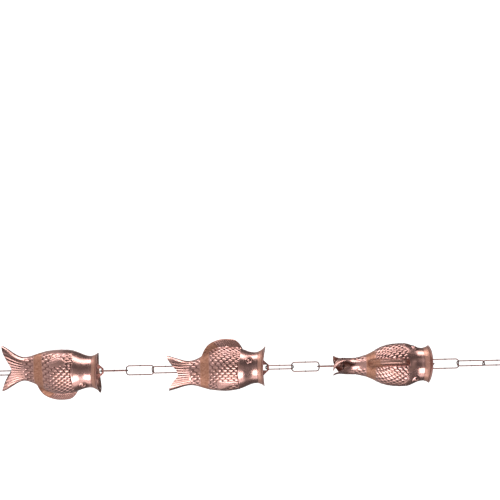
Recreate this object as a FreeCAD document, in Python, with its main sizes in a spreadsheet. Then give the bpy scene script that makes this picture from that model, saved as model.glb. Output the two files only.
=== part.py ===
import FreeCAD, Part
import math
import os

import Sketcher

# Rain chain of hollow fish cups joined by welded wire links, hanging down -Z.
# The origin is where a hook bears inside the top link. Sizes are in millimetres.
# A fish has its own frame: +X to its back, +Y to its right side, +Z from tail tip to mouth,
# with the chain running along its Z axis.

V = FreeCAD.Vector
Z_AXIS = V(0, 0, 1)

LINK_SIZES = {
    "wire_dia": 1.6,
    "link_length": 37.2,
    "link_width": 13.4,
    "link_corner": 4.6,
    "weld_bulge": 0.35,
    "weld_length": 1.6,
    "hook_gap": 0.3,
}

# Section stations along a fish: distance from the station before, then the reach of the
# section to the back, to the belly and to each side.
FISH_STATIONS = {
    "tail_tip": (0.0, 18.2, 28.4, 9.4),
    "tail_web": (15.0, 13.4, 24.4, 10.6),
    "tail_root": (16.0, 11.0, 21.2, 11.0),
    "rear_flank": (19.0, 19.2, 25.8, 17.0),
    "rear_belly": (15.0, 26.6, 28.7, 24.2),
    "belly": (17.0, 28.2, 29.2, 27.4),
    "shoulder": (18.0, 24.6, 25.2, 26.3),
    "neck": (15.0, 21.3, 20.2, 21.6),
    "mouth": (13.7, 28.6, 26.6, 28.0),
}
OUTLINES = ("back", "under", "side")

FISH_SIZES = {
    "wall": 0.6,
    "seam_gap": 0.05,
    "lip_upper": 3.7,
    "lip_lower": 1.5,
    "lip_reach": 20.0,
    "notch_depth": 13.2,
    "lobe_setback": 2.2,
    "notch_reach": 45.0,
    "tail_gap": 5.0,
    "tail_tip_gap": 2.4,
    "tail_bow": 8.0,
    "tail_close": 17.0,
    "fin_height": 10.2,
    "fin_rear_offset": 14.3,
    "fin_rear_rise": 18.0,
    "fin_front_offset": -0.5,
    "fin_front_fall": 14.5,
    "fin_edge_half": 2.0,
    "fin_root_half": 5.8,
    "crown_depth": 1.6,
    "crown_half": 8.0,
    "crown_length": 14.0,
    "eye_setback": 8.0,
    "eye_reach": 10.9,
    "eye_radius": 4.6,
    "eye_rise": 1.0,
    "gill_setback": 23.0,
    "gill_edge": 4.0,
    "gill_length": 20.0,
    "gill_rise": 0.8,
}

# Each tail is bent by hand: how far its lobes are spread, and its twist at the tip in degrees.
TAIL_BENDS = {
    "upper_fish": (1.15, 32.0),
    "middle_fish": (1.0, 0.0),
    "lower_fish": (1.36, 0.0),
}

BRACKET_SIZES = {
    "plate_thick": 1.5,
    "apex_rise": 8.1,
    "apex_half": 3.2,
    "apex_bar": 3.0,
    "bar_round": 0.5,
    "window_half": 3.55,
    "window_length": 9.0,
    "back_bar": 3.0,
    "web_half": 8.8,
    "leg_above_neck": 1.1,
    "leg_end": 9.0,
    "solder_gap": 0.1,
}

PIN_SIZES = {
    "pin_dia": 2.0,
    "pin_inset": 1.0,
}

# Distances that follow from the sizes above.
DERIVED_SIZES = {
    "link_pitch": "=link_length - wire_dia",
    "link_across": "=link_width - wire_dia",
    "link_bend": "=link_corner - wire_dia / 2",
    "link_nest": "=wire_dia + hook_gap",
    "rim_at": "=mouth_at - lip_upper",
    "fin_rear": "=tail_root_at + fin_rear_offset",
    "fin_front": "=shoulder_at + fin_front_offset",
    "eye_at": "=neck_at - eye_setback",
    "gill_at": "=neck_at - gill_setback",
    "apex_top": "=rim_at + apex_rise",
    "apex_at": "=apex_top - apex_bar / 2",
    "window_top": "=apex_top - apex_bar",
    "window_low": "=window_top - window_length",
    "web_low": "=window_low - back_bar",
    "leg_top": "=neck_at + leg_above_neck",
    "leg_low": "=leg_top - leg_end",
    "back_leg": "=neck_back - crown_depth - wall - solder_gap",
    "under_leg": "=neck_under - wall - solder_gap",
    "hook_round": "=min(bar_round; plate_thick / 3)",
    "hook_drop": "=sqrt((apex_bar / 2 - hook_round)^2 + (plate_thick / 2 - hook_round)^2)"
                 " + hook_round + wire_dia / 2 + hook_gap",
    "pin_at": "=notch_depth + pin_inset",
    "pin_rise": "=(pin_dia + wire_dia) / 2 + hook_gap",
}

# The chain from top to bottom, each piece with its turn about Z in degrees.
# A link at 0 has its end bars along X; a fish at 0 has its back to +X.
CHAIN = (
    ("link_01", 55.0),
    ("link_02", -60.0),
    ("link_03", 0.0),
    ("upper_fish", -100.0),
    ("link_04", 90.0),
    ("link_05", 0.0),
    ("link_06", 63.0),
    ("middle_fish", 180.0),
    ("link_07", 42.0),
    ("link_08", 0.0),
    ("link_09", 90.0),
    ("lower_fish", 17.0),
    ("link_10", 60.0),
)

# Grid of the pressed skin: rows crowd towards the fin, stations are even.
BACK_ROWS = 14
UNDER_ROWS = 8
STATION_STEPS = 52

# How full the fin's curve is at its rear and front ends, and how late the twist of a tail sets in.
FIN_REAR_POWER = 4.0
FIN_FRONT_POWER = 2.5
TWIST_POWER = 3.0

# Small steps, in millimetres and radians, that give the slope of the skin.
SLOPE_STATION = 0.01
SLOPE_ANGLE = 0.001

QUARTER_TURN = math.pi / 2


def fill_sheet(doc):
    """Put every driving size, then the derived ones, in an aliased cell."""
    sheet = doc.addObject("Spreadsheet::Sheet", "Sizes")
    cells = dict(LINK_SIZES)
    place = "0"
    for station, (step, *reaches) in FISH_STATIONS.items():
        cells[f"{station}_step"] = step
        cells[f"{station}_at"] = f"={place} + {station}_step"
        place = f"{station}_at"
        for name, reach in zip(OUTLINES, reaches):
            cells[f"{station}_{name}"] = reach
    cells.update(FISH_SIZES)
    for fish, (spread, twist) in TAIL_BENDS.items():
        cells[f"{fish}_spread"] = spread
        cells[f"{fish}_twist"] = twist
    cells.update(BRACKET_SIZES)
    cells.update(PIN_SIZES)
    cells.update(DERIVED_SIZES)
    for row, (name, value) in enumerate(cells.items(), start=1):
        sheet.set(f"A{row}", name)
        sheet.set(f"B{row}", str(value))
        sheet.setAlias(f"B{row}", name)
    doc.recompute()
    return {name: float(sheet.get(name)) for name in cells}


def fall_smoothly(low, high, x):
    """1 below low, 0 above high, with a smooth slope between."""
    share = min(max((x - low) / (high - low), 0.0), 1.0)
    return 1.0 - share * share * (3.0 - 2.0 * share)


class FishForm:
    """The outer form of one fish as a function of station and angle round the section.

    The angle runs from -90 degrees at the belly seam to +90 degrees at the back seam.
    Side is 1 on the right half and -1 on the left one.
    """

    def __init__(self, size, name):
        self.size = size
        self.spread = size[f"{name}_spread"]
        self.twist = size[f"{name}_twist"]
        self.lines = {line: self.outline(line) for line in OUTLINES}

    def outline(self, name):
        at = [self.size[f"{station}_at"] for station in FISH_STATIONS]
        points = [V(z, self.size[f"{station}_{name}"], 0) for z, station in zip(at, FISH_STATIONS)]
        curve = Part.BSplineCurve()
        curve.interpolate(Points=points, Parameters=at)
        return curve

    def reach(self, name, z):
        return self.lines[name].value(z).y

    def turn(self, z):
        """Twist of the tail in degrees, which sets in at its root."""
        return self.twist * max(0.0, 1.0 - z / self.size["tail_root_at"]) ** TWIST_POWER

    def section(self, z):
        """Reach of the section to the back and to the belly."""
        spread = 1.0 + (self.spread - 1.0) * fall_smoothly(0.0, self.size["tail_root_at"], z)
        return self.reach("back", z) * spread, self.reach("under", z) * spread

    def width(self, z, angle):
        """Distance of the skin from the middle plane: the tail is a trough, open along its back."""
        size = self.size
        root = size["tail_root_at"]
        edge = size["seam_gap"]
        if angle > 0:
            bow = fall_smoothly(0.0, size["tail_bow"], z)
            gap = size["tail_gap"] + (size["tail_tip_gap"] - size["tail_gap"]) * bow
            edge += gap * fall_smoothly(root - size["tail_close"], root, z)
        return edge + (self.reach("side", z) - edge) * math.cos(angle)

    def fin(self, z):
        size = self.size
        rear = min(max((z - size["fin_rear"]) / size["fin_rear_rise"], 0.0), 1.0)
        front = min(max((z - size["fin_front"]) / size["fin_front_fall"] + 1.0, 0.0), 1.0)
        return size["fin_height"] * (1.0 - (1.0 - rear) ** FIN_REAR_POWER) * (1.0 - front ** FIN_FRONT_POWER)

    def crest(self, z, y):
        """Fin along the back seam, and the groove that follows it over the head."""
        size = self.size
        groove = 1.0 - fall_smoothly(size["fin_front"], size["fin_front"] + size["crown_length"], z)
        fin = self.fin(z) * fall_smoothly(size["fin_edge_half"], size["fin_root_half"], y)
        return fin - size["crown_depth"] * groove * fall_smoothly(0.0, size["crown_half"], y)

    def bulge(self, z, x, around):
        """Eye and gill cover standing out of the head."""
        size = self.size
        eye_distance = math.hypot(z - size["eye_at"], x - size["eye_reach"])
        eye = size["eye_rise"] * fall_smoothly(0.0, size["eye_radius"], eye_distance)
        cover = 1.0 - fall_smoothly(size["gill_at"], size["gill_at"] + size["gill_edge"], z)
        cover *= fall_smoothly(size["gill_at"] + size["gill_edge"], size["gill_at"] + size["gill_length"], z)
        return eye + size["gill_rise"] * cover * around

    def height(self, station, across):
        """Station moved by the forked tail edge and by the lips of the mouth."""
        size = self.size
        fork = size["notch_depth"] * math.cos(QUARTER_TURN * across) ** 2
        fork += size["lobe_setback"] * (1.0 - across) / 2
        tail_share = max(0.0, 1.0 - station / size["notch_reach"]) ** 2
        lip = size["lip_upper"] if across > 0 else size["lip_lower"]
        mouth_share = max(0.0, 1.0 - (size["rim_at"] - station) / size["lip_reach"]) ** 2
        return station + fork * tail_share + lip * across * across * mouth_share

    def point(self, station, angle, side):
        across = math.sin(angle)
        around = math.cos(angle)
        z = self.height(station, across)
        back, under = self.section(z)
        y = self.width(z, angle)
        x = (back - under) / 2 + (back + under) / 2 * across
        rise = self.bulge(z, x, around)
        if across > 0:
            x += self.crest(z, y)
        place = V(x + rise * across, side * (y + rise * around), z)
        return FreeCAD.Rotation(Z_AXIS, self.turn(z)).multVec(place)

    def normal(self, station, angle, side):
        """Unit vector out of the fish."""
        before = self.point(station - SLOPE_STATION, angle, side)
        after = self.point(station + SLOPE_STATION, angle, side)
        below = self.point(station, angle - SLOPE_ANGLE, side)
        above = self.point(station, angle + SLOPE_ANGLE, side)
        out = (after - before).cross(above - below) * side
        return out.normalize()

    def inner_point(self, station, angle, side):
        return self.point(station, angle, side) - self.normal(station, angle, side) * self.size["wall"]

    def inner_side(self, z):
        """Distance from the chain's axis to the inside of a tail sheet."""
        back, under = self.section(z)
        angle = math.asin((under - back) / (back + under))
        return self.width(z, angle) - self.size["wall"]


def skin_angles():
    """Angles from the back seam down to the belly seam."""
    back = [QUARTER_TURN * (1.0 - (row / BACK_ROWS) ** 2) for row in range(BACK_ROWS)]
    under = [-QUARTER_TURN * row / UNDER_ROWS for row in range(UNDER_ROWS + 1)]
    return back + under


def skin(point_at, stations, side):
    grid = []
    for station in stations:
        row = []
        for angle in skin_angles():
            row.append(point_at(station, angle, side))
        grid.append(row)
    surface = Part.BSplineSurface()
    surface.interpolate(grid)
    return surface


def half_shell(form, side):
    """One pressed half: outer skin, inner skin and the four narrow edges between them."""
    stations = [form.size["rim_at"] * step / STATION_STEPS for step in range(STATION_STEPS + 1)]
    outer = skin(form.point, stations, side)
    inner = skin(form.inner_point, stations, side)
    faces = [outer.toShape(), inner.toShape()]
    for edge_of in (
        lambda s: s.uIso(s.bounds()[0]),
        lambda s: s.uIso(s.bounds()[1]),
        lambda s: s.vIso(s.bounds()[2]),
        lambda s: s.vIso(s.bounds()[3]),
    ):
        faces.append(edge_of(outer).makeRuledSurface(edge_of(inner)).toShape())
    sewn = Part.makeCompound(faces)
    sewn.sewShape()
    solid = Part.makeSolid(sewn.Shells[0])
    if solid.Volume < 0:
        solid.reverse()
    return solid


def origin_plane(body, role):
    return next(item for item in body.Origin.OriginFeatures if item.Role == role)


def new_sketch(body, name, role):
    sketch = body.newObject("Sketcher::SketchObject", name)
    sketch.AttachmentSupport = (origin_plane(body, role), "")
    sketch.MapMode = "FlatFace"
    return sketch


def bind(sketch, constraint, expression):
    index = sketch.addConstraint(constraint)
    sketch.setExpression(f"Constraints[{index}]", expression)


def add_link_path(body, size):
    """Centre line of a link: a rounded rectangle that starts half way up one leg."""
    half_width = size["link_across"] / 2
    half_length = size["link_pitch"] / 2
    bend = size["link_bend"]
    sketch = new_sketch(body, "path", "XZ_Plane")
    start = V(half_width, 0, 0)
    lines = []
    arcs = []
    for quarter, (x_sign, z_sign) in enumerate(((1, 1), (-1, 1), (-1, -1), (1, -1))):
        centre = V(x_sign * (half_width - bend), z_sign * (half_length - bend), 0)
        circle = Part.Circle(centre, Z_AXIS, bend)
        arc = Part.ArcOfCircle(circle, QUARTER_TURN * quarter, QUARTER_TURN * (quarter + 1))
        lines.append(sketch.addGeometry(Part.LineSegment(start, arc.StartPoint)))
        arcs.append(sketch.addGeometry(arc))
        start = arc.EndPoint
    lines.append(sketch.addGeometry(Part.LineSegment(start, V(half_width, 0, 0))))
    for before, arc, after in zip(lines, arcs, lines[1:]):
        sketch.addConstraint(Sketcher.Constraint("Tangent", before, 2, arc, 1))
        sketch.addConstraint(Sketcher.Constraint("Tangent", arc, 2, after, 1))
    for arc in arcs[1:]:
        sketch.addConstraint(Sketcher.Constraint("Equal", arcs[0], arc))
    right_up, top, left, bottom, right_down = lines
    sketch.addConstraint(Sketcher.Constraint("Coincident", right_down, 2, right_up, 1))
    sketch.addConstraint(Sketcher.Constraint("PointOnObject", right_up, 1, -1))
    sketch.addConstraint(Sketcher.Constraint("Symmetric", top, 1, top, 2, -2))
    sketch.addConstraint(Sketcher.Constraint("Symmetric", left, 1, left, 2, -1))
    sketch.addConstraint(Sketcher.Constraint("Horizontal", bottom))
    sketch.addConstraint(Sketcher.Constraint("Vertical", right_up))
    width = Sketcher.Constraint("DistanceX", left, 1, right_up, 1, 2 * half_width)
    length = Sketcher.Constraint("DistanceY", bottom, 1, top, 1, 2 * half_length)
    bind(sketch, Sketcher.Constraint("Radius", arcs[0], bend), "Sizes.link_bend")
    bind(sketch, width, "Sizes.link_across")
    bind(sketch, length, "Sizes.link_pitch")
    return sketch


def add_link(doc, name, size):
    """A welded link of round wire, centred on its own origin, with a weld bead on each leg."""
    body = doc.addObject("PartDesign::Body", name)
    body.Label = name
    path = add_link_path(body, size)
    section = new_sketch(body, "wire", "XY_Plane")
    half_width = size["link_across"] / 2
    circle = section.addGeometry(Part.Circle(V(half_width, 0, 0), Z_AXIS, size["wire_dia"] / 2))
    section.addConstraint(Sketcher.Constraint("PointOnObject", circle, 3, -1))
    offset = Sketcher.Constraint("DistanceX", -1, 1, circle, 3, half_width)
    bind(section, offset, "Sizes.link_across / 2")
    bind(section, Sketcher.Constraint("Diameter", circle, size["wire_dia"]), "Sizes.wire_dia")
    doc.recompute()
    pipe = body.newObject("PartDesign::AdditivePipe", "bent_wire")
    pipe.Profile = section
    pipe.Spine = (path, [f"Edge{index + 1}" for index in range(len(path.Shape.Edges))])
    doc.recompute()
    for label, sign in (("weld_right", ""), ("weld_left", "-")):
        bead = body.newObject("PartDesign::AdditiveEllipsoid", label)
        bead.setExpression("Radius1", "Sizes.weld_length / 2")
        bead.setExpression("Radius2", "Sizes.wire_dia / 2 + Sizes.weld_bulge")
        bead.setExpression("Radius3", "Sizes.wire_dia / 2 + Sizes.weld_bulge")
        bead.setExpression("Placement.Base.x", f"{sign}Sizes.link_across / 2")
        doc.recompute()
    return body


def add_loop(sketch, corners, size):
    """Closed outline through corners, each a sign and size across and a size along the fish."""
    points = [V(sign * size[across], size[along], 0) for sign, across, along in corners]
    ends = points[1:] + points[:1]
    lines = [sketch.addGeometry(Part.LineSegment(a, b)) for a, b in zip(points, ends)]
    for line, following in zip(lines, lines[1:] + lines[:1]):
        sketch.addConstraint(Sketcher.Constraint("Coincident", line, 2, following, 1))
    for line, point, (sign, across, along) in zip(lines, points, corners):
        level = Sketcher.Constraint("DistanceX", -1, 1, line, 1, point.x)
        upright = Sketcher.Constraint("DistanceY", -1, 1, line, 1, point.y)
        bind(sketch, level, f"{sign} * Sizes.{across}")
        bind(sketch, upright, f"Sizes.{along}")


def add_bracket(doc, name, size):
    """Windowed plate across the neck: its apex bar carries the fish on the link above."""
    body = doc.addObject("PartDesign::Body", name)
    body.Label = name
    sketch = new_sketch(body, "outline", "XZ_Plane")
    add_loop(sketch, [
        (1, "apex_half", "apex_top"),
        (1, "back_leg", "leg_top"),
        (1, "back_leg", "leg_low"),
        (1, "web_half", "web_low"),
        (-1, "web_half", "web_low"),
        (-1, "under_leg", "leg_low"),
        (-1, "under_leg", "leg_top"),
        (-1, "apex_half", "apex_top"),
    ], size)
    add_loop(sketch, [
        (1, "window_half", "window_top"),
        (1, "window_half", "window_low"),
        (-1, "window_half", "window_low"),
        (-1, "window_half", "window_top"),
    ], size)
    doc.recompute()
    plate = body.newObject("PartDesign::Pad", "plate")
    plate.Profile = sketch
    plate.SideType = "Symmetric"
    plate.setExpression("Length", "Sizes.plate_thick")
    doc.recompute()
    close = size["solder_gap"]
    bar_edges = [f"Edge{index + 1}" for index, edge in enumerate(plate.Shape.Edges)
                 if edge.BoundBox.XLength > close
                 and edge.BoundBox.ZLength < close
                 and edge.BoundBox.ZMin > size["window_top"] - close]
    fillet = body.newObject("PartDesign::Fillet", "hook_edges")
    fillet.Base = (plate, bar_edges)
    fillet.setExpression("Radius", "Sizes.hook_round")
    doc.recompute()
    return body


def add_pin(doc, name, size, form):
    """Cross pin between the two tail sheets, square to them where they are twisted."""
    pin = doc.addObject("Part::Cylinder", name)
    pin.Label = name
    pin.setExpression("Radius", "Sizes.pin_dia / 2")
    pin.Height = 2 * (form.inner_side(size["pin_at"]) - size["solder_gap"])
    return pin


def add_fish(doc, name, size, form):
    halves = []
    for half, side in (("left_half", -1), ("right_half", 1)):
        shell = doc.addObject("Part::Feature", f"{name}_{half}")
        shell.Label = f"{name}_{half}"
        shell.Shape = half_shell(form, side)
        halves.append(shell)
    bracket = add_bracket(doc, f"{name}_mouth_bracket", size)
    pin = add_pin(doc, f"{name}_tail_pin", size, form)
    return halves + [bracket], pin


def hang_chain(doc, size):
    """Hang each piece on the one above it and return the sub-parts."""
    parts = []
    bar = size["wire_dia"] / 2
    hung_on_link = False
    for name, roll in CHAIN:
        turn = FreeCAD.Rotation(Z_AXIS, roll)
        if name.startswith("link"):
            if hung_on_link:
                bar += size["link_nest"]
            link = add_link(doc, name, size)
            link.Placement = FreeCAD.Placement(V(0, 0, bar - size["link_pitch"] / 2), turn)
            parts.append(link)
            bar -= size["link_pitch"]
            hung_on_link = True
        else:
            tail_tip = bar + size["hook_drop"] - size["apex_at"]
            form = FishForm(size, name)
            pieces, pin = add_fish(doc, name, size, form)
            for piece in pieces:
                piece.Placement = FreeCAD.Placement(V(0, 0, tail_tip), turn)
            pin_turn = FreeCAD.Rotation(Z_AXIS, roll + form.turn(size["pin_at"]))
            across = FreeCAD.Rotation(V(1, 0, 0), 90)
            middle = V(0, pin.Height.Value / 2, size["pin_at"])
            pin.Placement = FreeCAD.Placement(V(0, 0, tail_tip) + pin_turn.multVec(middle), pin_turn * across)
            parts.extend(pieces + [pin])
            bar = tail_tip + size["pin_at"] + size["pin_rise"]
            hung_on_link = False
    return parts


def check_and_write(doc, parts):
    doc.recompute()
    for item in doc.Objects:
        if "Invalid" in item.State or "Error" in item.State:
            raise RuntimeError(f"{item.Label} did not build")
    for part in parts:
        if part.Shape.isNull() or not part.Shape.isValid():
            raise RuntimeError(f"{part.Label} has no valid shape")
    for part in parts:
        part.Shape.exportStep(f"parts/{part.Label}.step")


def main():
    os.makedirs("parts", exist_ok=True)
    doc = FreeCAD.newDocument("RainChain")
    size = fill_sheet(doc)
    parts = hang_chain(doc, size)
    check_and_write(doc, parts)


main()
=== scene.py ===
import math

import bpy
import numpy as np
from mathutils import Matrix, Vector


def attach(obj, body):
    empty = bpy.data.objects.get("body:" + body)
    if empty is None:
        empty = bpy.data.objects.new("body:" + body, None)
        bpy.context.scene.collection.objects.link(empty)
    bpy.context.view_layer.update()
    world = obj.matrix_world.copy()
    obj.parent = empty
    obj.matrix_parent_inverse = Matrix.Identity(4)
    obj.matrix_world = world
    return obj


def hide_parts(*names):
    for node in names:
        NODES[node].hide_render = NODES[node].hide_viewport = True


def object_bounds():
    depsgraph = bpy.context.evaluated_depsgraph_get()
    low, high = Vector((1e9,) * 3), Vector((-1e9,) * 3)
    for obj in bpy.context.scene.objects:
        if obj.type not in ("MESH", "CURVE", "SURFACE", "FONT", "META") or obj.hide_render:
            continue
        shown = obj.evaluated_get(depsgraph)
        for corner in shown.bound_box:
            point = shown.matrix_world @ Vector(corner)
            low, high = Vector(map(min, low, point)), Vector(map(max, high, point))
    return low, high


# Copper rain chain of hollow fish cups, lying across a white picture.
# Fish sizes are in millimetres in the fish's own frame: +X back, +Y right side, +Z tail to mouth.
# A pair of values is where a feature sets in and where it is full.

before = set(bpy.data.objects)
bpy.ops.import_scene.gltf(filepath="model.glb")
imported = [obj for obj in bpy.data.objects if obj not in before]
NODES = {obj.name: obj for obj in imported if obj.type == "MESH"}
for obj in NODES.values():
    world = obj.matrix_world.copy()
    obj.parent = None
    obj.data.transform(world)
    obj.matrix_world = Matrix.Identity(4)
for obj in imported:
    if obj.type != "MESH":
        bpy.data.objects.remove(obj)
cad_low, cad_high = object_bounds()

MM = 0.001

# Sections along a fish: station, reach to the back, to the belly and to each side.
STATIONS = np.array([
    (0.0, 18.2, 28.4, 9.4),
    (15.0, 13.4, 24.4, 10.6),
    (31.0, 11.0, 21.2, 11.0),
    (50.0, 19.2, 25.8, 17.0),
    (65.0, 26.6, 28.7, 24.2),
    (82.0, 28.2, 29.2, 27.4),
    (100.0, 24.6, 25.2, 26.3),
    (115.0, 21.3, 20.2, 21.6),
    (128.7, 28.6, 26.6, 28.0),
])
WALL = 0.6
SEAM_GAP = 0.05

# Mouth
RIM_AT = 125.0
LIP_UPPER = 3.7
LIP_LOWER = 1.5
LIP_REACH = 20.0

# Forked tail, a trough that is open along its back
TAIL_ROOT = 31.0
NOTCH_DEPTH = 13.2
NOTCH_REACH = 45.0
LOBE_SETBACK = 2.2
TAIL_GAP = 5.0
TAIL_TIP_GAP = 2.4
TAIL_BOW = 8.0
TAIL_CLOSE = 17.0
TWIST_POWER = 3.0

# Back fin, and the groove that follows it over the head
FIN_HEIGHT = 10.2
FIN_REAR = 45.3
FIN_REAR_RISE = 18.0
FIN_REAR_POWER = 4.0
FIN_FRONT = 99.5
FIN_FRONT_FALL = 14.5
FIN_FRONT_POWER = 2.5
FIN_EDGE_HALF = 2.0
FIN_ROOT_HALF = 5.8
CROWN_DEPTH = 1.6
CROWN_HALF = 8.0
CROWN_LENGTH = 14.0

# Eye and gill cover standing out of the head
EYE = (107.0, 10.9)
EYE_RADIUS = 4.6
EYE_RISE = 1.0
COVER_AT = 92.0
COVER_EDGE = 4.0
COVER_LENGTH = 20.0
COVER_RISE = 0.8

# Each fish: height of its tail tip in the chain, turn about Z, spread and twist of its tail.
FISH = {
    "upper_fish": (-231.169, -100.0, 1.15, 32.0),
    "middle_fish": (-446.838, 180.0, 1.0, 0.0),
    "lower_fish": (-662.508, 17.0, 1.36, 0.0),
}

# Mesh of a half
STATION_CELLS = 280
ROUND_CELLS = 140
FINE_ANGLES = 4001
EVEN_AT = 80.0
STATION_STEP = 0.01
ANGLE_STEP = 0.001


def rise(low, high, x):
    """0 below low, 1 above high, with a smooth slope between."""
    share = np.clip((x - low) / (high - low), 0.0, 1.0)
    return share * share * (3.0 - 2.0 * share)


def between(start, stop, x):
    """1 from the pair start to the pair stop and 0 outside them."""
    return rise(*start, x) * (1.0 - rise(*stop, x))


def hump(x, width):
    return np.exp(-(x / width) ** 2)


def waves(x, step):
    """Rays a step apart, from 0 in the grooves between them to 1 on their crests."""
    return 0.5 + 0.5 * np.cos(2 * math.pi * x / step)


class Outline:
    """Smooth curve through the stations, with end slopes from the nearest four."""

    def __init__(self, at, reach):
        step = np.diff(at)
        rate = np.diff(reach) / step
        count = len(at)
        rows = np.zeros((count, count))
        right = np.zeros(count)
        for i in range(1, count - 1):
            rows[i, i - 1:i + 2] = step[i], 2 * (step[i - 1] + step[i]), step[i - 1]
            right[i] = 3 * (step[i] * rate[i - 1] + step[i - 1] * rate[i])
        for end, near in ((0, slice(0, 4)), (count - 1, slice(-4, None))):
            rows[end, end] = 1.0
            right[end] = np.polyval(np.polyder(np.polyfit(at[near] - at[end], reach[near], 3)), 0.0)
        self.at = at
        self.reach = reach
        self.slope = np.linalg.solve(rows, right)

    def __call__(self, z):
        i = np.clip(np.searchsorted(self.at, z) - 1, 0, len(self.at) - 2)
        step = self.at[i + 1] - self.at[i]
        t = (z - self.at[i]) / step
        start = (1 + 2 * t) * (1 - t) ** 2 * self.reach[i] + t * (1 - t) ** 2 * step * self.slope[i]
        stop = t * t * (3 - 2 * t) * self.reach[i + 1] + t * t * (t - 1) * step * self.slope[i + 1]
        return start + stop


back_line, under_line, side_line = (Outline(STATIONS[:, 0], STATIONS[:, k]) for k in (1, 2, 3))


def fin_rise(z):
    """Height of the back fin above the back."""
    rear = np.clip((z - FIN_REAR) / FIN_REAR_RISE, 0.0, 1.0)
    front = np.clip((z - FIN_FRONT) / FIN_FRONT_FALL + 1.0, 0.0, 1.0)
    return FIN_HEIGHT * (1.0 - (1.0 - rear) ** FIN_REAR_POWER) * (1.0 - front ** FIN_FRONT_POWER)


def bulge(z, x, around):
    """Eye and gill cover standing out of the head."""
    eye = EYE_RISE * (1.0 - rise(0.0, EYE_RADIUS, np.hypot(z - EYE[0], x - EYE[1])))
    crest = COVER_AT + COVER_EDGE
    cover = between((COVER_AT, crest), (crest, COVER_AT + COVER_LENGTH), z)
    return eye + COVER_RISE * cover * around


def skin(station, angle, spread=1.0):
    """Point of the smooth outer skin of a right half, before its tail is twisted."""
    across = np.sin(angle)
    around = np.cos(angle)
    fork = NOTCH_DEPTH * np.cos(math.pi / 2 * across) ** 2 + LOBE_SETBACK * (1.0 - across) / 2
    lip = np.where(across > 0, LIP_UPPER, LIP_LOWER) * across ** 2
    z = station + fork * np.clip(1.0 - station / NOTCH_REACH, 0.0, None) ** 2
    z = z + lip * np.clip(1.0 - (RIM_AT - station) / LIP_REACH, 0.0, None) ** 2
    share = 1.0 + (spread - 1.0) * (1.0 - rise(0.0, TAIL_ROOT, z))
    back = back_line(z) * share
    under = under_line(z) * share
    gap = TAIL_TIP_GAP + (TAIL_GAP - TAIL_TIP_GAP) * rise(0.0, TAIL_BOW, z)
    trough = gap * (1.0 - rise(TAIL_ROOT - TAIL_CLOSE, TAIL_ROOT, z))
    edge = SEAM_GAP + np.where(angle > 0, trough, 0.0)
    y = edge + (side_line(z) - edge) * around
    x = (back - under) / 2 + (back + under) / 2 * across
    out = bulge(z, x, around)
    groove = CROWN_DEPTH * rise(FIN_FRONT, FIN_FRONT + CROWN_LENGTH, z) * (1.0 - rise(0.0, CROWN_HALF, y))
    fin = fin_rise(z) * (1.0 - rise(FIN_EDGE_HALF, FIN_ROOT_HALF, y))
    x = x + np.where(across > 0, fin - groove, 0.0)
    return np.stack([x + out * across, y + out * around, z], axis=-1)


def skin_normal(station, angle, spread):
    """Unit vector out of the fish."""
    along = skin(station + STATION_STEP, angle, spread) - skin(station - STATION_STEP, angle, spread)
    around = skin(station, angle + ANGLE_STEP, spread) - skin(station, angle - ANGLE_STEP, spread)
    out = np.cross(along, around)
    return out / np.linalg.norm(out, axis=-1, keepdims=True)


def twist_tail(points, twist):
    """Turn the points of a tail about the chain, all of the twist at the tip and none at the root."""
    turn = np.radians(twist) * np.clip(1.0 - points[:, 2] / TAIL_ROOT, 0.0, None) ** TWIST_POWER
    x = points[:, 0] * np.cos(turn) - points[:, 1] * np.sin(turn)
    y = points[:, 0] * np.sin(turn) + points[:, 1] * np.cos(turn)
    return np.stack([x, y, points[:, 2]], axis=-1)


def even_angles(cells):
    """Angles from the belly seam to the back seam, evenly spaced over the skin at the belly."""
    fine = np.linspace(-math.pi / 2, math.pi / 2, FINE_ANGLES)
    line = skin(np.full_like(fine, EVEN_AT), fine)
    length = np.concatenate([[0.0], np.cumsum(np.linalg.norm(np.diff(line, axis=0), axis=1))])
    return np.interp(np.linspace(0.0, length[-1], cells + 1), length, fine)


# Scales, as beads in rows that lean towards the mouth
SCALE_LONG = 7.8
SCALE_ROUND = 7.4
SCALE_HEIGHT = 0.9
SCALE_LEVEL = 0.45
SCALE_ORIGIN = 56.0
SCALE_LEAN = 0.26
SCALE_LEAN_FADE = (-4.0, 16.0)
SCALE_LEAN_ABOUT = 70.0
SCALES_FROM = (54.8, 56.6)
SCALES_TO_GILL = (-1.6, -0.6)
SCALES_BELLY = (-28.4, -26.0)
BELLY_SLOPE = 0.10
BELLY_SLOPE_BELOW = -8.0
ROW_WAVE = 0.10
ROW_POWER = 2.2
BEAD_WAVE = 0.05
BEAD_POWER = 2.6
BEAD_DROP = 0.8
BEAD_TILT = 0.3

# Scales and rays of the tail; seam shares are 0 at the side and 1 at the back and belly seams
TAIL_SCALE_LONG = 8.4
TAIL_SCALE_HEIGHT = 0.6
TAIL_SCALE_LEVEL = 0.4
TAIL_SCALE_ORIGIN = 30.5
TAIL_SCALES_FROM = (30.2, 31.6)
TAIL_SCALES_TO = (42.0, 43.4)
TAIL_SCALES_SEAM = (0.88, 0.97)
TAIL_RAY_STEP = 0.17
TAIL_RAY_HEIGHT = 0.45
# Painted shade in the grooves between the tail's rays
TAIL_RAY_PAINTED_SHADE = 0.6
TAIL_RAYS_TO = (28.0, 30.6)
TAIL_RAYS_SEAM = (0.70, 0.80)
TAIL_BORDER_SEAM = 0.84
TAIL_BORDER_WIDTH = 0.05
TAIL_BORDER_TO = (27.0, 36.0)
TAIL_BORDER_HEIGHT = 0.25

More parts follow.
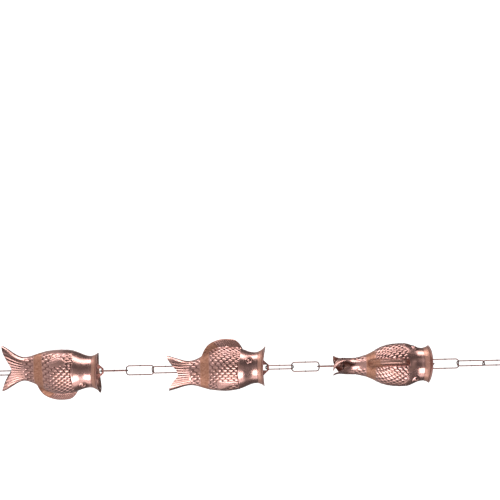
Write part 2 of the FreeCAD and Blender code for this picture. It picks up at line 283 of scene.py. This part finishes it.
# Side fin: a fan of rays from its root, in degrees from the way to the tail
SIDE_FIN_ROOT = (97.0, -17.4)
SIDE_FIN_SPREAD = (-19.0, 4.0)
SIDE_FIN_BORDER = 1.5
SIDE_FIN_RAYS = 7
SIDE_FIN_LENGTH = 33.0
SIDE_FIN_LONGEST = -4.0
SIDE_FIN_ROUNDING = 0.012
SIDE_FIN_FROM = (1.0, 4.0)
SIDE_FIN_TIP = (-1.2, 0.6)
SIDE_FIN_HEIGHT = 0.5
SIDE_FIN_RAY_HEIGHT = 0.5
# Painted shade in the grooves between the side fin's rays
SIDE_FIN_PAINTED_SHADE = 0.5

# Rays and rim of the back fin, by shares of its greatest height and of its height at the station
FIN_BASE = (0.02, 0.12)
FIN_RAYS_FOOT = (0.14, 0.24)
FIN_RAYS_TOP = (0.84, 0.92)
FIN_LEAST_SHARE = 0.05
FIN_RAY_STEP = 2.8
FIN_RAY_SLANT = 0.77
FIN_RAY_HEIGHT = 0.8
# Painted shade in the grooves between the back fin's rays
FIN_RAY_PAINTED_SHADE = 0.7
FRONT_RAYS_FROM = (58.5, 60.5)
FRONT_RAYS_TO = (97.0, 99.5)
REAR_RAYS_FROM = (45.0, 46.0)
REAR_RAYS_TO = (52.5, 53.6)
FIN_RIM_AT = 0.93
FIN_RIM_WIDTH = 0.05
FIN_RIM_LEAST_RISE = 2.0
FIN_RIM_DEPTH = 0.2
# Painted shade in the groove of the back fin's rim
FIN_RIM_PAINTED_SHADE = 0.3
# A line of painted shade along the foot of the back fin
FIN_FOOT_WIDTH = 1.6
FIN_FOOT_FROM = (46.0, 50.0)
FIN_FOOT_TO = (64.0, 68.0)
FIN_FOOT_PAINTED_SHADE = 0.5

# Rings of the eye, by distance from its middle
EYE_OVAL = 1.15
PUPIL_WIDTH = 1.5
PUPIL_HEIGHT = 0.5
MOAT_AT = 2.2
MOAT_WIDTH = 0.7
MOAT_DEPTH = 0.35
# Painted shade in the eye's moat
MOAT_SHADE_WIDTH = 0.8
MOAT_PAINTED_SHADE = 0.55
EYE_RING_AT = 3.7
EYE_RING_WIDTH = 0.85
EYE_RING_HEIGHT = 0.8
# Painted shade round the border of the eye
EYE_BORDER_AT = 5.2
EYE_BORDER_WIDTH = 0.7
EYE_BORDER_PAINTED_SHADE = 0.6

# Edge of the gill cover: height above the axis and station
GILL_LINE = np.array([(-24.0, 95.6), (-19.3, 94.2), (-5.5, 92.4), (11.0, 95.0), (25.0, 98.5)])
GILL_WIDTH = 0.75
GILL_HEIGHT = 0.55
GILL_FROM = (-25.0, -21.0)
GILL_TO = (6.0, 12.0)
# Painted shade in a line just behind the gill cover's edge
GILL_SHADE_BEHIND = 1.2
GILL_SHADE_WIDTH = 0.6

# Crease of the neck and bead of the mouth's rim
CREASE_AT = 117.6
CREASE_WIDTH = 0.7
CREASE_DEPTH = 0.25
# Painted shade in the crease of the neck
CREASE_PAINTED_SHADE = 0.4
RIM_BEAD_FROM = (123.4, 124.4)
RIM_BEAD_HEIGHT = 0.35
# Painted shade in a line just before the rim's bead
RIM_LINE_AT = 123.2
RIM_LINE_WIDTH = 0.5
RIM_LINE_PAINTED_SHADE = 0.7

# Unpolished copper: a band behind the scales, the middle of the back fin and the flare of the mouth
BAND_FROM = (42.6, 44.6)
BAND_TO = (54.0, 57.0)
MATTE_FIN_SHARE = (0.0, 0.1)
MATTE_FIN_FROM = (52.0, 54.0)
MATTE_FIN_TO = (58.0, 62.0)
FLARE_FROM = (117.2, 118.6)
FLARE_MATTE = 0.6
FIN_BASE_MATTE = 0.2

RELIEF_LIMITS = (-0.5, 1.2)
# The inner skin takes an even share of painted shade and of raw copper
INNER_SHADE = 0.4
INNER_MATTE = 0.35


class Place:
    """Points of a half's smooth skin, in the measures that its relief is placed by."""

    def __init__(self, station, angle, point, arc):
        self.station = station
        self.arc = arc
        self.x, self.y, self.z = np.moveaxis(point, -1, 0)
        self.across = np.sin(angle)
        self.seam = np.abs(self.across)
        self.on_back = self.across > 0
        self.fin = fin_rise(self.z)
        full_share = self.fin / FIN_HEIGHT
        self.fin_share = full_share * (1.0 - rise(FIN_EDGE_HALF, FIN_ROOT_HALF, self.y)) * self.on_back
        self.fin_part = self.fin_share / np.maximum(full_share, FIN_LEAST_SHARE)
        self.fin_base = rise(*FIN_BASE, self.fin_share)
        self.slant = self.z + FIN_RAY_SLANT * (self.x - back_line(self.z) - self.fin)
        self.past_gill = self.z - np.interp(self.x, GILL_LINE[:, 0], GILL_LINE[:, 1])
        self.belly_z = self.z + BELLY_SLOPE * np.clip(BELLY_SLOPE_BELOW - self.x, 0.0, None)
        self.fin_reach = np.hypot(self.z - SIDE_FIN_ROOT[0], self.x - SIDE_FIN_ROOT[1])
        self.fin_turn = np.degrees(np.arctan2(self.x - SIDE_FIN_ROOT[1], SIDE_FIN_ROOT[0] - self.z))


def leaning_scales(z, arc, long, around):
    """Height of scales in leaning rows, and the share of painted shade in the grooves between them."""
    a = z / long + arc / around
    b = z / long - arc / around
    a, b = a + ROW_WAVE * np.sin(2 * math.pi * b), b + BEAD_WAVE * np.sin(2 * math.pi * a)
    off_row = a - np.floor(a) - 0.5
    off_bead = b - np.floor(b) - 0.5
    row = 1.0 - np.abs(2.0 * off_row) ** ROW_POWER
    bead = 1.0 - BEAD_DROP * np.abs(2.0 * off_bead) ** BEAD_POWER
    return row * bead * (1.0 - BEAD_TILT * (off_row + off_bead)), (1.0 - row * bead) ** 2


def side_fin_cover(at):
    low, high = SIDE_FIN_SPREAD
    border = SIDE_FIN_BORDER
    tip = SIDE_FIN_LENGTH - SIDE_FIN_ROUNDING * (at.fin_turn - SIDE_FIN_LONGEST) ** 2
    cover = between((low - border, low + border), (high - border, high + border), at.fin_turn)
    return cover * rise(*SIDE_FIN_FROM, at.fin_reach) * (1.0 - rise(*SIDE_FIN_TIP, at.fin_reach - tip))


# The functions below each give the height of one feature and its share of painted shade


def flank_scales(at):
    cover = rise(*SCALES_FROM, at.belly_z) * (1.0 - rise(*SCALES_TO_GILL, at.past_gill))
    cover = cover * (1.0 - at.fin_base) * (1.0 - side_fin_cover(at)) * rise(*SCALES_BELLY, at.x)
    lean = SCALE_LEAN * rise(*SCALE_LEAN_FADE, at.x) * (at.z - SCALE_LEAN_ABOUT)
    scale, groove = leaning_scales(at.z - SCALE_ORIGIN, at.arc + lean, SCALE_LONG, SCALE_ROUND)
    return SCALE_HEIGHT * (scale - SCALE_LEVEL) * cover, groove * cover


def tail_scales(at):
    cover = between(TAIL_SCALES_FROM, TAIL_SCALES_TO, at.z) * (1.0 - rise(*TAIL_SCALES_SEAM, at.seam))
    scale, groove = leaning_scales(at.z - TAIL_SCALE_ORIGIN, at.arc, TAIL_SCALE_LONG, SCALE_ROUND)
    return TAIL_SCALE_HEIGHT * (scale - TAIL_SCALE_LEVEL) * cover, groove * cover


def tail_rays(at):
    cover = (1.0 - rise(*TAIL_RAYS_TO, at.z)) * (1.0 - rise(*TAIL_RAYS_SEAM, at.seam))
    ray = waves(at.across, TAIL_RAY_STEP)
    border = hump(at.seam - TAIL_BORDER_SEAM, TAIL_BORDER_WIDTH) * (1.0 - rise(*TAIL_BORDER_TO, at.z))
    height = TAIL_RAY_HEIGHT * (ray - 0.5) * cover + TAIL_BORDER_HEIGHT * border
    return height, TAIL_RAY_PAINTED_SHADE * (1.0 - ray) ** 2 * cover


def side_fin(at):
    low, high = SIDE_FIN_SPREAD
    cover = side_fin_cover(at)
    ray = waves(at.fin_turn - low, (high - low) / SIDE_FIN_RAYS)
    height = (SIDE_FIN_HEIGHT + SIDE_FIN_RAY_HEIGHT * (ray - 0.5)) * cover
    return height, SIDE_FIN_PAINTED_SHADE * (1.0 - ray) ** 2 * cover


def back_fin(at):
    front = rise(*FRONT_RAYS_FROM, at.slant) * (1.0 - rise(*FRONT_RAYS_TO, at.z))
    rear = between(REAR_RAYS_FROM, REAR_RAYS_TO, at.z)
    cover = (front + rear) * rise(*FIN_RAYS_FOOT, at.fin_share) * (1.0 - rise(*FIN_RAYS_TOP, at.fin_part))
    ray = waves(at.slant, FIN_RAY_STEP)
    rim = hump(at.fin_part - FIN_RIM_AT, FIN_RIM_WIDTH) * (at.fin > FIN_RIM_LEAST_RISE)
    foot = hump(at.y - FIN_ROOT_HALF, FIN_FOOT_WIDTH) * at.on_back * between(FIN_FOOT_FROM, FIN_FOOT_TO, at.z)
    height = FIN_RAY_HEIGHT * (ray - 0.5) * cover - FIN_RIM_DEPTH * rim
    painted_shade = FIN_RAY_PAINTED_SHADE * (1.0 - ray) ** 2 * cover + FIN_RIM_PAINTED_SHADE * rim + FIN_FOOT_PAINTED_SHADE * foot
    return height, painted_shade


def eye(at):
    off = np.hypot(at.z - EYE[0], (at.x - EYE[1]) * EYE_OVAL)
    height = EYE_RING_HEIGHT * hump(off - EYE_RING_AT, EYE_RING_WIDTH) + PUPIL_HEIGHT * hump(off, PUPIL_WIDTH)
    height = height - MOAT_DEPTH * hump(off - MOAT_AT, MOAT_WIDTH)
    painted_shade = MOAT_PAINTED_SHADE * hump(off - MOAT_AT, MOAT_SHADE_WIDTH)
    return height, painted_shade + EYE_BORDER_PAINTED_SHADE * hump(off - EYE_BORDER_AT, EYE_BORDER_WIDTH)


def gill(at):
    cover = between(GILL_FROM, GILL_TO, at.x)
    painted_shade = hump(at.past_gill + GILL_SHADE_BEHIND, GILL_SHADE_WIDTH)
    return GILL_HEIGHT * hump(at.past_gill, GILL_WIDTH) * cover, painted_shade * cover


def mouth(at):
    crease = hump(at.station - CREASE_AT, CREASE_WIDTH)
    line = hump(at.station - RIM_LINE_AT, RIM_LINE_WIDTH)
    height = RIM_BEAD_HEIGHT * rise(*RIM_BEAD_FROM, at.station) - CREASE_DEPTH * crease
    return height, RIM_LINE_PAINTED_SHADE * line + CREASE_PAINTED_SHADE * crease


FEATURES = (flank_scales, tail_scales, tail_rays, side_fin, back_fin, eye, gill, mouth)


def unpolished(at):
    """Share of raw copper in the surface."""
    band = rise(*BAND_FROM, at.z) * (1.0 - rise(*BAND_TO, at.belly_z))
    fin = rise(*MATTE_FIN_SHARE, at.fin_share) * rise(*MATTE_FIN_FROM, at.z)
    fin = fin * (1.0 - rise(*MATTE_FIN_TO, at.slant))
    flare = between(FLARE_FROM, RIM_BEAD_FROM, at.station)
    return np.clip(band + fin + FLARE_MATTE * flare + FIN_BASE_MATTE * at.fin_base, 0.0, 1.0)


def press(at):
    """Height of the pressed relief, with a mask of painted shade in its grooves and creases and a mask of the
    unpolished bands.
    """
    heights, painted_shades = zip(*(feature(at) for feature in FEATURES))
    return np.clip(sum(heights), *RELIEF_LIMITS), np.clip(sum(painted_shades), 0.0, 1.0), unpolished(at)


def quads(ids):
    """Faces of a grid of point numbers."""
    return np.stack([ids[:-1, :-1], ids[1:, :-1], ids[1:, 1:], ids[:-1, 1:]], axis=-1).reshape(-1, 4)


def half_arrays(spread):
    """Points, faces, masks and sharp lines of a right half: pressed outer skin, plain inner skin, edges."""
    stations = np.linspace(0.0, RIM_AT, STATION_CELLS + 1)
    angles = even_angles(ROUND_CELLS)
    station, angle = np.meshgrid(stations, angles, indexing="ij")
    base = skin(station, angle, spread)
    normal = skin_normal(station, angle, spread)
    steps = np.linalg.norm(np.diff(base, axis=1), axis=2)
    arc = np.concatenate([np.zeros((len(stations), 1)), np.cumsum(steps, axis=1)], axis=1)
    side = np.array([np.interp(0.0, angles, row) for row in arc])
    height, groove, matte = press(Place(station, angle, base, arc - side[:, None]))
    outer = base + normal * height[..., None]
    outer[..., 1] = np.maximum(outer[..., 1], base[..., 1].min())

    # The inner skin has every second point of the outer one
    inner = (base - normal * WALL)[::2, ::2]
    inner_count = inner.shape[0] * inner.shape[1]
    outer_id = np.arange(station.size).reshape(station.shape)
    inner_id = station.size + np.arange(inner_count).reshape(inner.shape[:2])
    faces = [tuple(f) for f in quads(outer_id)] + [tuple(f) for f in quads(inner_id)[:, ::-1]]
    borders = (
        (outer_id[0], inner_id[0], False),
        (outer_id[-1], inner_id[-1], True),
        (outer_id[:, 0], inner_id[:, 0], True),
        (outer_id[:, -1], inner_id[:, -1], False),
    )
    for fine, plain, turned in borders:
        for k in range(len(plain) - 1):
            face = (fine[2 * k], fine[2 * k + 1], fine[2 * k + 2], plain[k + 1], plain[k])
            faces.append(tuple(reversed(face)) if turned else face)

    points = np.concatenate([outer.reshape(-1, 3), inner.reshape(-1, 3)])
    # The groove mask carries the painted shade; the inner skin gets an even share of it
    masks = {
        "groove": np.concatenate([groove.ravel(), np.full(inner_count, INNER_SHADE)]),
        "matte": np.concatenate([matte.ravel(), np.full(inner_count, INNER_MATTE)]),
    }
    sharp = [line for border in borders for line in border[:2]]
    return points, faces, masks, sharp


def make_mesh(name, points, faces, masks, sharp):
    mesh = bpy.data.meshes.new(name)
    mesh.from_pydata(points.tolist(), [], [tuple(int(i) for i in f) for f in faces])
    mesh.polygons.foreach_set("use_smooth", np.ones(len(mesh.polygons), bool))
    for mask, values in masks.items():
        attribute = mesh.attributes.new(mask, "FLOAT", "POINT")
        attribute.data.foreach_set("value", values.astype(np.float32))
    pairs = set()
    for line in sharp:
        pairs.update(frozenset((int(p), int(q))) for p, q in zip(line[:-1], line[1:]))
    ends = np.zeros(len(mesh.edges) * 2, np.int32)
    mesh.edges.foreach_get("vertices", ends)
    flags = np.array([frozenset(pair) in pairs for pair in ends.reshape(-1, 2).tolist()], bool)
    mesh.attributes.new("sharp_edge", "BOOLEAN", "EDGE").data.foreach_set("value", flags)
    mesh.update()
    return mesh


# Copper: colours, and the scales of its patches, specks and grain in waves per metre
WHITE = (1.0, 1.0, 1.0, 1.0)
SHELL_BRIGHT = (0.50, 0.286, 0.262, 1.0)
SHELL_DULL = (0.47, 0.235, 0.165, 1.0)
SHELL_RAW = (0.29, 0.128, 0.079, 1.0)
# Dark colour of the painted shade in grooves, creases and inside the shell
SHELL_PAINTED_SHADE = (0.06, 0.018, 0.014, 1.0)
SHELL_ROUGH = 0.26
RAW_ROUGH = 0.5
PLATE_BRIGHT = (0.24, 0.105, 0.09, 1.0)
PLATE_DULL = (0.16, 0.065, 0.05, 1.0)
PLATE_ROUGH = 0.5
WIRE_BRIGHT = (0.19, 0.10, 0.088, 1.0)
WIRE_DULL = (0.12, 0.06, 0.05, 1.0)
WIRE_ROUGH = 0.3
PATCH_SCALE = 90.0
PATCH_DETAIL = 5.0
PATCH_RANGE = (0.35, 0.75)
PATCH_SHARE = 0.45
PATCH_SMOOTHER = 0.05
PATCH_ROUGHER = 0.08
SPECK_SCALE = 420.0
SPECK_DETAIL = 4.0
SPECK_ROUGHNESS = 0.7
SPECK_RANGE = (0.38, 0.66)
PAINTED_SHADE_SHARE = 0.96
GRAIN_SCALE = 900.0
GRAIN_DETAIL = 3.0
GRAIN_STRENGTH = 0.08
GRAIN_DEPTH = 0.0003
NOISE_ROUGHNESS = 0.5


def add(tree, kind, inputs, **settings):
    """New node, with each input set to a value or linked to another node's output."""
    node = tree.nodes.new(kind)
    for name, value in settings.items():
        setattr(node, name, value)
    for key, value in inputs.items():
        if isinstance(value, bpy.types.NodeSocket):
            tree.links.new(value, node.inputs[key])
        else:
            node.inputs[key].default_value = value
    return node


def new_material(name):
    material = bpy.data.materials.new(name)
    material.use_nodes = True
    material.node_tree.nodes.clear()
    return material, material.node_tree


def noise(tree, place, scale, detail, roughness=NOISE_ROUGHNESS):
    inputs = {"Vector": place, "Scale": scale, "Detail": detail, "Roughness": roughness}
    return add(tree, "ShaderNodeTexNoise", inputs).outputs["Fac"]


def spread_out(tree, value, low, high, to_low=0.0, to_high=1.0):
    """The range from low to high stretched to another range."""
    inputs = {"Value": value, "From Min": low, "From Max": high, "To Min": to_low, "To Max": to_high}
    return add(tree, "ShaderNodeMapRange", inputs).outputs["Result"]


def blend(tree, kind, factor, a, b):
    return add(tree, "ShaderNodeMix", {"Factor": factor, "A": a, "B": b}, data_type=kind).outputs["Result"]


def mask(tree, name):
    return add(tree, "ShaderNodeAttribute", {}, attribute_name=name).outputs["Fac"]


def patches(tree, place, bright, dull, rough):
    """Colour and roughness of copper that has dulled in patches."""
    patch = noise(tree, place, PATCH_SCALE, PATCH_DETAIL)
    share = spread_out(tree, patch, *PATCH_RANGE, to_high=PATCH_SHARE)
    roughness = spread_out(tree, patch, 0.0, 1.0, rough - PATCH_SMOOTHER, rough + PATCH_ROUGHER)
    return blend(tree, "RGBA", share, bright, dull), roughness


def bands_and_painted_shade(tree, place, colour, roughness):
    """Colour and roughness with the unpolished bands and the painted shade in the grooves of a pressed half.
    """
    matte = mask(tree, "matte")
    speck = noise(tree, place, SPECK_SCALE, SPECK_DETAIL, SPECK_ROUGHNESS)
    raw = blend(tree, "RGBA", spread_out(tree, speck, *SPECK_RANGE), SHELL_DULL, SHELL_RAW)
    # Painted shade: the groove mask mixes the dark shade colour into the copper
    painted_shade = add(tree, "ShaderNodeMath", {0: mask(tree, "groove"), 1: PAINTED_SHADE_SHARE}, operation="MULTIPLY")
    colour = blend(tree, "RGBA", matte, colour, raw)
    colour = blend(tree, "RGBA", painted_shade.outputs["Value"], colour, SHELL_PAINTED_SHADE)
    return colour, blend(tree, "FLOAT", matte, roughness, RAW_ROUGH)


def copper(name, bright, dull, rough, pressed=False):
    """Patchy copper with a fine grain; pressed copper also shows the masks of its mesh: painted shade in its
    grooves, and its unpolished bands.
    """
    material, tree = new_material(name)
    place = add(tree, "ShaderNodeTexCoord", {}).outputs["Object"]
    colour, roughness = patches(tree, place, bright, dull, rough)
    if pressed:
        colour, roughness = bands_and_painted_shade(tree, place, colour, roughness)
    grain = noise(tree, place, GRAIN_SCALE, GRAIN_DETAIL)
    bump = add(tree, "ShaderNodeBump", {"Strength": GRAIN_STRENGTH, "Distance": GRAIN_DEPTH, "Height": grain})
    shader = add(tree, "ShaderNodeBsdfPrincipled", {
        "Metallic": 1.0,
        "Base Color": colour,
        "Roughness": roughness,
        "Normal": bump.outputs["Normal"],
    })
    add(tree, "ShaderNodeOutputMaterial", {"Surface": shader.outputs["BSDF"]})
    return material


shell_copper = copper("shell_copper", SHELL_BRIGHT, SHELL_DULL, SHELL_ROUGH, pressed=True)
plate_copper = copper("plate_copper", PLATE_BRIGHT, PLATE_DULL, PLATE_ROUGH)
wire_copper = copper("wire_copper", WIRE_BRIGHT, WIRE_DULL, WIRE_ROUGH)


def show(name, data):
    thing = bpy.data.objects.new(name, data)
    bpy.context.scene.collection.objects.link(thing)
    return thing


def dress(node, material):
    node.data.materials.clear()
    node.data.materials.append(material)


def dress_half(fish, half, world, faces, masks, sharp):
    mesh = make_mesh(f"{fish}_{half}_pressed", world, faces, masks, sharp)
    mesh.materials.append(shell_copper)
    shell = show(f"{fish}_{half}_pressed", mesh)
    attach(shell, fish)
    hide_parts(f"{fish}_{half}")


for fish, (tail, roll, spread, twist) in FISH.items():
    points, faces, masks, sharp = half_arrays(spread)
    mirrored_faces = [face[::-1] for face in faces]
    turn = np.array(Matrix.Rotation(math.radians(roll), 3, "Z"))
    for half, mirror, half_faces in (("left_half", -1.0, mirrored_faces), ("right_half", 1.0, faces)):
        local = twist_tail(points * (1.0, mirror, 1.0), twist)
        world = np.clip((local @ turn.T + (0.0, 0.0, tail)) * MM, cad_low, cad_high)
        dress_half(fish, half, world, half_faces, masks, sharp)
    dress(NODES[f"{fish}_mouth_bracket"], plate_copper)
    dress(NODES[f"{fish}_tail_pin"], wire_copper)

for name, node in NODES.items():
    if name.startswith("link"):
        dress(node, wire_copper)

# Camera: the chain runs across the picture from the tail end at the left, rising a little to the right.
# The picture is 500 pixels wide, of 1.304 mm each at the chain, which lies below the picture's middle.
PICTURE_PIXELS = 500.0
PIXEL = 1.304 * MM
PIXELS_BELOW_MIDDLE = 117.8
TILT = math.radians(1.21)
LENS = 135.0
SENSOR = 36.0
CHAIN_MIDDLE = Vector((0.0, 0.0, -338.6 * MM))


def set_camera():
    data = bpy.data.cameras.new("camera")
    data.lens = LENS
    data.sensor_width = SENSOR
    data.dof.use_dof = False
    camera = show("camera", data)
    right = Vector((math.sin(TILT), 0.0, math.cos(TILT)))
    up = Vector((-math.cos(TILT), 0.0, math.sin(TILT)))
    back = right.cross(up)
    distance = PICTURE_PIXELS * PIXEL * LENS / SENSOR
    aim = CHAIN_MIDDLE + up * (PIXELS_BELOW_MIDDLE * PIXEL)
    turned = Matrix((right, up, back)).transposed().to_4x4()
    camera.matrix_world = Matrix.Translation(aim + back * distance) @ turned
    bpy.context.scene.camera = camera


# Soft lamps: degrees round the chain from the camera's side, shift along it, width and length, radiance.
LAMP_DISTANCE = 1.2
LAMPS = {
    "front_fill": (6.0, 0.0, (0.75, 2.0), 0.2),
    "front_low": (-38.0, 0.1, (0.85, 1.15), 6.1),
    "below": (-78.0, 0.0, (0.5, 1.6), 1.8),
    "overhead": (86.0, 0.0, (0.6, 1.6), 5.3),
    "from_the_right": (0.0, 3.0, (0.8, 0.8), 6.0),
}


def set_lamp(name, elevation, along, size, radiance):
    """Rectangular lamp that faces the middle of the chain; 90 degrees is above it in the picture."""
    light = bpy.data.lights.new(name, "AREA")
    light.shape = "RECTANGLE"
    light.size, light.size_y = size
    light.energy = radiance * math.pi * size[0] * size[1]
    lamp = show(name, light)
    lift = math.radians(elevation)
    away = Vector((-math.sin(lift), -math.cos(lift), 0.0)) * LAMP_DISTANCE + Vector((0.0, 0.0, along))
    facing = -away.normalized()
    side = Vector((0.0, 0.0, 1.0)).cross(facing).normalized()
    turned = Matrix((side, side.cross(facing), -facing)).transposed().to_4x4()
    lamp.matrix_world = Matrix.Translation(CHAIN_MIDDLE + away) @ turned
    lamp.visible_camera = False


# Stage: dim even world, white backdrop behind the chain and a pale floor under it, in metres
WORLD_STRENGTH = 0.15
PAINT = (0.85, 0.85, 0.85, 1.0)
BACKDROP_Y = 3.2
BACKDROP_HALF = 1.2
BACKDROP_TOP = 0.8
BACKDROP_GLOW = 1.0
FLOOR_Z = -1.8
FLOOR_HALF = 20.0
FLOOR_GLOW = 0.4


def set_world():
    world = bpy.data.worlds.new("studio")
    bpy.context.scene.world = world
    world.use_nodes = True
    tree = world.node_tree
    tree.nodes.clear()
    dim = add(tree, "ShaderNodeBackground", {"Color": WHITE, "Strength": WORLD_STRENGTH})
    add(tree, "ShaderNodeOutputWorld", {"Surface": dim.outputs["Background"]})


def seen_white(name, strength):
    """White paint that also glows for the camera and in what the copper mirrors."""
    paint, tree = new_material(name)
    path = add(tree, "ShaderNodeLightPath", {}).outputs
    mirrored = add(tree, "ShaderNodeMath", {0: path["Is Glossy Ray"], 1: path["Is Transmission Ray"]},
                   operation="MAXIMUM")
    seen = add(tree, "ShaderNodeMath", {0: path["Is Camera Ray"], 1: mirrored.outputs["Value"]},
               operation="MAXIMUM")
    diffuse = add(tree, "ShaderNodeBsdfDiffuse", {"Color": PAINT})
    dark = add(tree, "ShaderNodeEmission", {"Strength": 0.0})
    glow = add(tree, "ShaderNodeEmission", {"Color": WHITE, "Strength": strength})
    pick = add(tree, "ShaderNodeMixShader", {
        "Fac": seen.outputs["Value"],
        1: dark.outputs["Emission"],
        2: glow.outputs["Emission"],
    })
    both = add(tree, "ShaderNodeAddShader", {0: diffuse.outputs["BSDF"], 1: pick.outputs["Shader"]})
    add(tree, "ShaderNodeOutputMaterial", {"Surface": both.outputs["Shader"]})
    return paint


def plane(name, corners, paint):
    mesh = bpy.data.meshes.new(name)
    mesh.from_pydata(corners, [], [(0, 1, 2, 3)])
    mesh.materials.append(paint)
    sheet = show(name, mesh)


set_camera()
for name, values in LAMPS.items():
    set_lamp(name, *values)
set_world()
plane("backdrop", [
    (-BACKDROP_HALF, BACKDROP_Y, FLOOR_Z),
    (BACKDROP_HALF, BACKDROP_Y, FLOOR_Z),
    (BACKDROP_HALF, BACKDROP_Y, BACKDROP_TOP),
    (-BACKDROP_HALF, BACKDROP_Y, BACKDROP_TOP),
], seen_white("backdrop_white", BACKDROP_GLOW))
plane("floor", [
    (-FLOOR_HALF, -FLOOR_HALF, FLOOR_Z),
    (FLOOR_HALF, -FLOOR_HALF, FLOOR_Z),
    (FLOOR_HALF, FLOOR_HALF, FLOOR_Z),
    (-FLOOR_HALF, FLOOR_HALF, FLOOR_Z),
], seen_white("floor_white", FLOOR_GLOW))

view = bpy.context.scene.view_settings
view.view_transform = "Standard"
